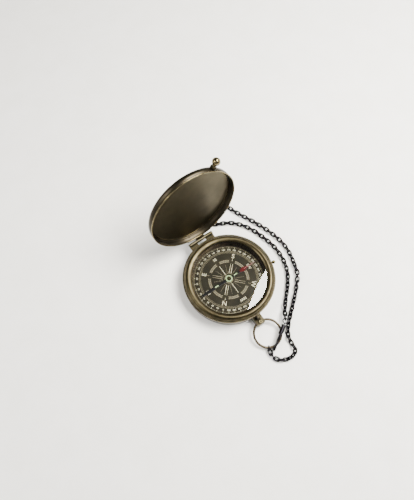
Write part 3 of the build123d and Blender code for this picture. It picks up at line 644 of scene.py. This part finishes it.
# ---- Glass ------------------------------------------------------------------------------
# Flat crystal, 1.5 mm thick, ground at the edge. It gives a clear weak reflection, twice
# one face's and all from the outer side, and lets the light through to the dial.
watch_glass, tree = new_material("clear_watch_glass")
wiped = remap(tree, noise(tree, 9.0, 6.0, 0.6, stretch=(1.0, 3.0, 1.0)), 0.35, 0.7, 0.82, 1.0)
clear = add_node(tree, "ShaderNodeBsdfTransparent", [("Color", (0.965, 0.97, 0.955, 1.0))])
mirror = add_node(tree, "ShaderNodeBsdfGlossy", [("Roughness", 0.0)],
                  [("Color", mix_colour(tree, wiped, "8f8f8a", "ffffff"))])
one_face = add_node(tree, "ShaderNodeFresnel", [("IOR", 1.52)]).outputs[0]
inside = add_node(tree, "ShaderNodeNewGeometry").outputs["Backfacing"]
both_faces = calculate(tree, "MULTIPLY", 2.0, remap(tree, inside, 0.0, 1.0, 1.0, 0.0))
share = calculate(tree, "MULTIPLY", one_face, both_faces, clamp=True)
both = add_node(tree, "ShaderNodeMixShader",
                links=[(0, share), (1, clear.outputs[0]), (2, mirror.outputs[0])])
add_node(tree, "ShaderNodeOutputMaterial", links=[("Surface", both.outputs[0])])
give_finish("glass", watch_glass)

# ---- Lid --------------------------------------------------------------------------------
# Spun brass cap with a rolled rim, hinged at the back and shown open. Inside, a thin
# lacquered liner disc is pressed in; a turned ball knob is riveted through the wall.
# The outlines are drawn shut, then turned open about the hinge pin.
HINGE_PLACE = Vector((0, 40.7, 12.2))
LID_OPENING = math.radians(-100.5)
OPEN = (Matrix.Translation(HINGE_PLACE) @ Matrix.Rotation(LID_OPENING, 4, "X")
        @ Matrix.Translation(-HINGE_PLACE))
KNOB_BEARING, KNOB_Z = math.radians(-54.0), 16.4
KNOB_BALL_R, KNOB_BALL_AT = 3.2, 43.7
ROLL_R, ROLL_Z, ROLL_WIRE_R = 37.3, 13.53, 0.42
lid_line = [(0.0, 19.55), (20.0, 19.55), (33.0, 19.55), (35.6, 19.52), (36.5, 19.35), (37.1, 18.98),
            (37.45, 18.45), (37.6, 17.8), (37.6, 13.5), (36.95, 13.5), (36.95, 17.7), (36.75, 18.3),
            (36.35, 18.66), (35.7, 18.75), (20.0, 18.75), (0.0, 18.75)]
rolled_edge = [(ROLL_R + ROLL_WIRE_R * math.cos(t), ROLL_Z + ROLL_WIRE_R * math.sin(t))
               for t in np.linspace(0, 2 * np.pi, 16, endpoint=False)]
# The rolled edge takes the brighter knob brass as a painted highlight: a bright line round the lid's dark
# rim.
lathe("lid_rolled_edge", rolled_edge, knob_brass, "lid_unit", OPEN, segments=256)
replace(solid_lathe("lid_spun", lid_line, dark_brass, "lid_unit", OPEN, segments=256), "lid")
liner_line = [(0.0, 18.72), (35.5, 18.72), (35.6, 18.6), (35.6, 18.5), (35.42, 18.45), (35.0, 18.47),
              (20.0, 18.47), (0.0, 18.47)]
# The bead where the liner meets the wall is in the brighter knob brass, a painted highlight line.
bead_line = rounded([(34.95, 18.2), (35.6, 18.2), (35.6, 18.6), (34.95, 18.6)], 0.15, 3)
lathe("lid_liner_bead", bead_line, knob_brass, "lid_unit", OPEN, segments=200)
liner_metal = metal("lacquered_liner_satin", "544e3e", "322d22", (0.3, 0.4), cloud_mm=26.0, rings=True,
                    grain_um=3.0)
replace(solid_lathe("lid_liner_disc", liner_line, liner_metal, "lid_unit", OPEN, segments=200),
        "lid_liner")

knob_way = Vector((math.cos(KNOB_BEARING), math.sin(KNOB_BEARING), 0))
knob_place = OPEN @ axis_place((0, 0, KNOB_Z), knob_way)
knob_line = [(0.0, 36.4), (0.9, 36.4), (0.9, 39.8), (1.35, 39.85), (1.4, 40.3), (1.25, 40.5)]
knob_line += sphere_arc(KNOB_BALL_R, KNOB_BALL_AT, 22, 180, 20)
replace(solid_lathe("lid_knob_ball", knob_line, knob_brass, "lid_unit", knob_place),
        "lid_knob")
boss_line = [(0.9, 37.3), (2.5, 37.3), (2.5, 39.45), (2.3, 39.8), (1.8, 39.9), (0.9, 39.9)]
replace(lathe("lid_knob_boss", boss_line, bronze, "lid_unit", knob_place, segments=48),
        "lid_knob_collar")

# ---- Needle lock knob -------------------------------------------------------------------
# Small turned ball on a stem through a slot in the case wall; it slides round to lift
# the needle off its point.
LOCK_BEARING, LOCK_Z = math.radians(-12.5), 8.0
LOCK_BALL_R, LOCK_BALL_AT = 1.5, 40.2
lock_way = Vector((math.cos(LOCK_BEARING), math.sin(LOCK_BEARING), 0))
lock_place = axis_place((0, 0, LOCK_Z), lock_way)
lock_line = [(0.0, 33.2), (0.8, 33.2), (0.8, 36.45), (1.25, 36.5), (1.25, 36.95), (0.8, 37.05), (0.8, 38.9)]
lock_line += sphere_arc(LOCK_BALL_R, LOCK_BALL_AT, 33, 180)
replace(solid_lathe("lock_knob_ball", lock_line, knob_brass, "lock", lock_place),
        "lock_knob")

# ---- Bow ring and neck ------------------------------------------------------------------
# Bent and closed wire bow whose ends turn in the neck block's sides. The neck is a small
# bronze casting with a hollow-headed stud, and carries the lid's sprung catch.
BOW_Y, BOW_Z = -43.0, 6.2
BOW_R, BOW_CENTRE, BOW_WIRE_R = 11.1, 10.2, 0.95
TRUNNION_R = 0.75
NECK_HALF_W, NECK_GAP = 3.7, 0.25
BOW_DROOP = math.radians(10.7)
BOW_SECTION = 20
side = NECK_HALF_W + NECK_GAP + BOW_WIRE_R
centre_y = BOW_Y - BOW_CENTRE
first_angle = math.acos(side / BOW_R)
last_angle = -math.pi - first_angle
end = [(2.5, BOW_Y), (side - 0.5, BOW_Y), (side - 0.12, BOW_Y - 0.08)]
round_part = [(BOW_R * math.cos(t), centre_y + BOW_R * math.sin(t))
              for t in np.linspace(first_angle, last_angle, 120)]
path = np.array(end + round_part + [(-x, y) for x, y in reversed(end)])
ahead = np.gradient(path, axis=0)
ahead /= np.linalg.norm(ahead, axis=1, keepdims=True)
in_neck = (np.abs(path[:, 0]) < NECK_HALF_W + NECK_GAP) & (path[:, 1] > BOW_Y - 0.2)
radius = np.where(in_neck, TRUNNION_R, BOW_WIRE_R)[:, None]
phi = np.linspace(0, 2 * np.pi, BOW_SECTION, endpoint=False)
points = np.stack([path[:, 0, None] - radius * np.cos(phi) * ahead[:, 1, None],
                   path[:, 1, None] + radius * np.cos(phi) * ahead[:, 0, None],
                   BOW_Z + radius * np.sin(phi)], -1).reshape(-1, 3)
bow_axis = Matrix.Translation((0, BOW_Y, BOW_Z))
points = carried(points, bow_axis @ Matrix.Rotation(BOW_DROOP, 4, "X") @ bow_axis.inverted())
faces = grid_faces(len(path), BOW_SECTION, False, True)
faces.append(tuple(range(BOW_SECTION))[::-1])
faces.append(tuple(len(points) - BOW_SECTION + i for i in range(BOW_SECTION)))
replace(mesh_piece("bow_wire", points, faces, wire_nickel, "bow"), "bow_ring")

give_finish("bow_neck", bronze)
give_finish("lid_catch", bronze)
give_finish("neck_screws", steel)
stud_line = [(0, 9.25), (0.45, 9.25), (0.6, 9.95), (0.75, 10.05), (1.2, 10.05), (1.4, 9.98), (1.7, 9.6),
             (1.75, 9.45), (1.75, 8.8), (0.9, 8.8), (0.9, 7.3), (0, 7.3)]
replace(solid_lathe("neck_stud_head", stud_line, antique_brass, "root",
                    Matrix.Translation((0, BOW_Y, 0))), "neck_stud")

# ---- Case, hinge and inner parts -----------------------------------------------------------
# Spun cup with a flange at its mouth, riveted hinge leaves, and the works that stay
# inside: support ring, pivot, and the lever that lifts the needle.
FINISHES = {
    "case": antique_brass_plain, "hinge_case_leaf": antique_brass_plain,
    "hinge_lid_leaf": antique_brass_plain, "hinge_pin": steel,
    "case_rivets": bright_brass, "lid_rivets": dark_brass,
    "support_ring": inner_brass, "dial_plate": inner_brass,
    "pivot_post": inner_brass, "pivot_screw": steel, "pivot_point": steel, "needle_jewel": jewel_red,
    "lock_slide": inner_brass, "lifter_lever": inner_brass, "lifter_collar": inner_brass,
    "lifter_bracket": inner_brass, "lifter_pin": steel,
}
for name, material in FINISHES.items():
    give_finish(name, material)

# ---- Floor and lights ---------------------------------------------------------------
# Flat pale paper. A bright panel lies overhead to the right and shows in the glass as a
# crescent bounded by its edge, a cubic curve drawn by four control points. A soft box on
# the left lights the dome.
FLOOR_HALF = 900
paper = coating("pale_paper", "f8f7f5", "f4f3f0", 0.85, size_mm=30)
corners = [(x, y, 0) for x, y in ((-FLOOR_HALF, -FLOOR_HALF), (FLOOR_HALF, -FLOOR_HALF),
                                  (FLOOR_HALF, FLOOR_HALF), (-FLOOR_HALF, FLOOR_HALF))]
floor = mesh_piece("floor", corners, [(0, 1, 2, 3)], paper, None)

WINDOW_Z = 600.0
WINDOW_EDGE = np.array([(222.0, 114.1), (190.3, 102.7), (158.5, 83.0), (126.8, 61.2)])
WINDOW_CORNERS = [(112.0, 48.0), (112.0, -290.0), (560.0, -290.0), (560.0, 121.0)]
t = np.linspace(0, 1, 40)
cubic = np.stack([(1 - t) ** 3, 3 * t * (1 - t) ** 2, 3 * t ** 2 * (1 - t), t ** 3], -1)
outline = [tuple(point) for point in cubic @ WINDOW_EDGE] + WINDOW_CORNERS
glow, tree = new_material("window_glow")
light = add_node(tree, "ShaderNodeEmission", [("Color", (1.0, 0.97, 0.89, 1.0)), ("Strength", 42.0)])
add_node(tree, "ShaderNodeOutputMaterial", links=[("Surface", light.outputs[0])])
window = mesh_piece("window", [(x, y, WINDOW_Z) for x, y in outline], [tuple(range(len(outline)))],
                    glow, None)


def soft_box(name, place, target, size, watts, colour):
    """Rectangular light in millimetres, turned to face its target."""
    data = bpy.data.lights.new(name, "AREA")
    data.shape = "RECTANGLE"
    data.size, data.size_y = size[0] * MM, size[1] * MM
    data.energy = watts
    data.color = colour
    lamp = bpy.data.objects.new(name, data)
    bpy.context.scene.collection.objects.link(lamp)
    turn = (Vector(target) - Vector(place)).to_track_quat("-Z", "Y").to_matrix().to_4x4()
    lamp.matrix_world = Matrix.Translation(Vector(place) * MM) @ turn


soft_box("left_box", (-420, 160, 520), (0, 0, 10), (260, 260), 4.0, (1.0, 0.97, 0.92))

world = bpy.data.worlds.new("studio")
bpy.context.scene.world = world
world.use_nodes = True
tree = world.node_tree
sky = tree.nodes["Background"]
way = add_node(tree, "ShaderNodeTexCoord").outputs["Generated"]
height = add_node(tree, "ShaderNodeSeparateXYZ", links=[(0, way)]).outputs["Z"]
sky.inputs["Color"].default_value = (1, 1, 1, 1)
tree.links.new(remap(tree, height, 0.12, 0.7, 1.2, 0.06), sky.inputs["Strength"])
